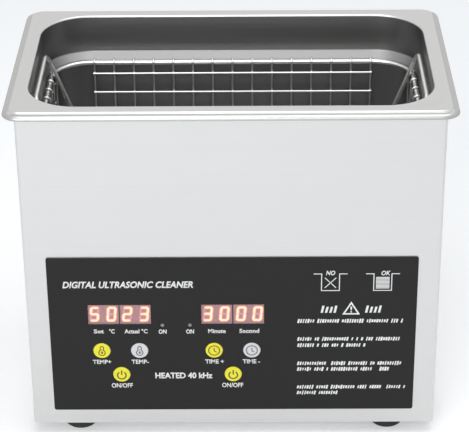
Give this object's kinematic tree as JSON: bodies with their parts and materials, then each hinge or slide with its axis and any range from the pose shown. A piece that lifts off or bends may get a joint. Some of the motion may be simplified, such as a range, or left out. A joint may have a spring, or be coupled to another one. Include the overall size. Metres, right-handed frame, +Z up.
{
  "type": "ultrasonic cleaner",
  "caption": "Benchtop ultrasonic cleaner: drawn steel tank in a brushed casing, dark digital control panel, and a lift-out wire basket with two fold-in handles.",
  "frame": {"origin": "on the table, under the middle of the casing, at the underside of the rubber feet", "axes": "+Z up, +X to the right as seen from the control panel, front panel facing -Y"},
  "size_m": [0.265, 0.162, 0.225],
  "materials": {
    "brushed_casing": "fine vertical brush",
    "galvanised_sheet": "galvanised",
    "zinc_screws": "zinc plated",
    "black_rubber": "matte",
    "drawn_steel": "satin, drawn",
    "seal_rubber": "matte",
    "heater_foil": "silicone, matte",
    "sensor_metal": "plated",
    "black_bakelite": "moulded",
    "panel_film": "fine matte film",
    "window_film": "tinted clear film",
    "yellow_key": "printed yellow",
    "pale_key": "printed pale grey",
    "green_board": "solder resist",
    "number_module": "lit number module",
    "switch_plastic": "moulded",
    "grey_lens": "tinted lens",
    "cast_aluminium": "turned",
    "grey_ceramic": "fired ceramic",
    "copper_plate": "bare",
    "plain_steel": "turned",
    "power_package": "moulded",
    "ferrite": "sintered",
    "capacitor_sleeve": "sleeve",
    "terminal_green": "moulded",
    "inlet_plastic": "moulded",
    "plated_brass": "nickel plated",
    "fuse_glass": "clear",
    "fan_plastic": "moulded",
    "lead_insulation": "extruded",
    "ribbon_grey": "extruded",
    "basket_wire": "electropolished"
  },
  "bodies": {
    "cleaner": {"board_leads": "lead_insulation", "bottom_plate": "galvanised_sheet", "bottom_plate_screws": "zinc_screws", "control_board": "green_board", "control_board_chips": "switch_plastic", "control_board_screws": "zinc_screws", "control_board_standoffs": "zinc_screws", "display_modules": "number_module", "display_windows": "window_film", "driver_board": "green_board", "driver_board_screws": "zinc_screws", "driver_board_standoffs": "zinc_screws", "driver_capacitors": "capacitor_sleeve", "driver_heatsink": "cast_aluminium", "driver_inductor": "ferrite", "driver_relays": "black_bakelite", "driver_transformer": "ferrite", "electrode_plates": "copper_plate", "fan_frame": "fan_plastic", "fan_screws": "zinc_screws", "foot_screws": "zinc_screws", "heating_band": "heater_foil", "housing_shell": "brushed_casing", "indicator_leds": "grey_lens", "inlet_pins": "plated_brass", "mains_leads": "lead_insulation", "panel_overlay": "panel_film", "piezo_rings": "grey_ceramic", "power_inlet": "inlet_plastic", "power_transistors": "power_package", "ribbon_cable": "ribbon_grey", "rubber_feet": "black_rubber", "tact_switches": "switch_plastic", "tank": "drawn_steel", "tank_seal": "seal_rubber", "temperature_sensor": "sensor_metal", "terminal_blocks": "terminal_green", "thermal_cutout": "black_bakelite", "transducer_back_masses": "plain_steel", "transducer_bolts": "plain_steel", "transducer_front_masses": "cast_aluminium"},
    "key_temp_up": {"key_temp_up": "yellow_key"},
    "key_temp_down": {"key_temp_down": "pale_key"},
    "key_heat_power": {"key_heat_power": "yellow_key"},
    "key_time_up": {"key_time_up": "yellow_key"},
    "key_time_down": {"key_time_down": "pale_key"},
    "key_sonic_power": {"key_sonic_power": "yellow_key"},
    "basket": {"basket_ring": "basket_wire", "basket_floor_mesh": "basket_wire", "basket_front_wall": "basket_wire", "basket_back_wall": "basket_wire", "basket_left_wall": "basket_wire", "basket_right_wall": "basket_wire", "basket_feet": "basket_wire", "hinge_clips": "basket_wire"},
    "handle_left": {"handle_left": "basket_wire"},
    "handle_right": {"handle_right": "basket_wire"},
    "fuse_drawer": {"fuse_drawer": "inlet_plastic", "fuse": "fuse_glass"},
    "fan_rotor": {"fan_rotor": "fan_plastic"}
  },
  "joints": [
    {"name": "press_temp_up", "type": "slide", "parent": "cleaner", "child": "key_temp_up", "axis": [0, 1, 0], "range_m": [0, 0.0004], "stiffness_N_per_m": 3000},
    {"name": "press_temp_down", "type": "slide", "parent": "cleaner", "child": "key_temp_down", "axis": [0, 1, 0], "range_m": [0, 0.0004], "stiffness_N_per_m": 3000},
    {"name": "press_heat_power", "type": "slide", "parent": "cleaner", "child": "key_heat_power", "axis": [0, 1, 0], "range_m": [0, 0.0004], "stiffness_N_per_m": 3000},
    {"name": "press_time_up", "type": "slide", "parent": "cleaner", "child": "key_time_up", "axis": [0, 1, 0], "range_m": [0, 0.0004], "stiffness_N_per_m": 3000},
    {"name": "press_time_down", "type": "slide", "parent": "cleaner", "child": "key_time_down", "axis": [0, 1, 0], "range_m": [0, 0.0004], "stiffness_N_per_m": 3000},
    {"name": "press_sonic_power", "type": "slide", "parent": "cleaner", "child": "key_sonic_power", "axis": [0, 1, 0], "range_m": [0, 0.0004], "stiffness_N_per_m": 3000},
    {"name": "basket_lift", "type": "slide", "parent": "cleaner", "child": "basket", "axis": [0, 0, 1], "range_m": [0, 0.115]},
    {"name": "handle_left_fold", "type": "hinge", "parent": "basket", "child": "handle_left", "pos_m": [-0.09, 0, 0.14195], "axis": [0, 1, 0], "range_deg": [0, 105]},
    {"name": "handle_right_fold", "type": "hinge", "parent": "basket", "child": "handle_right", "pos_m": [0.09, 0, 0.14195], "axis": [0, -1, 0], "range_deg": [0, 105]},
    {"name": "fuse_drawer_pull", "type": "slide", "parent": "cleaner", "child": "fuse_drawer", "axis": [0, 1, 0], "range_m": [0, 0.02]},
    {"name": "fan_spin", "type": "hinge", "parent": "cleaner", "child": "fan_rotor", "pos_m": [-0.058, 0.065, 0.058], "axis": [0, 1, 0], "continuous": true}
  ]
}
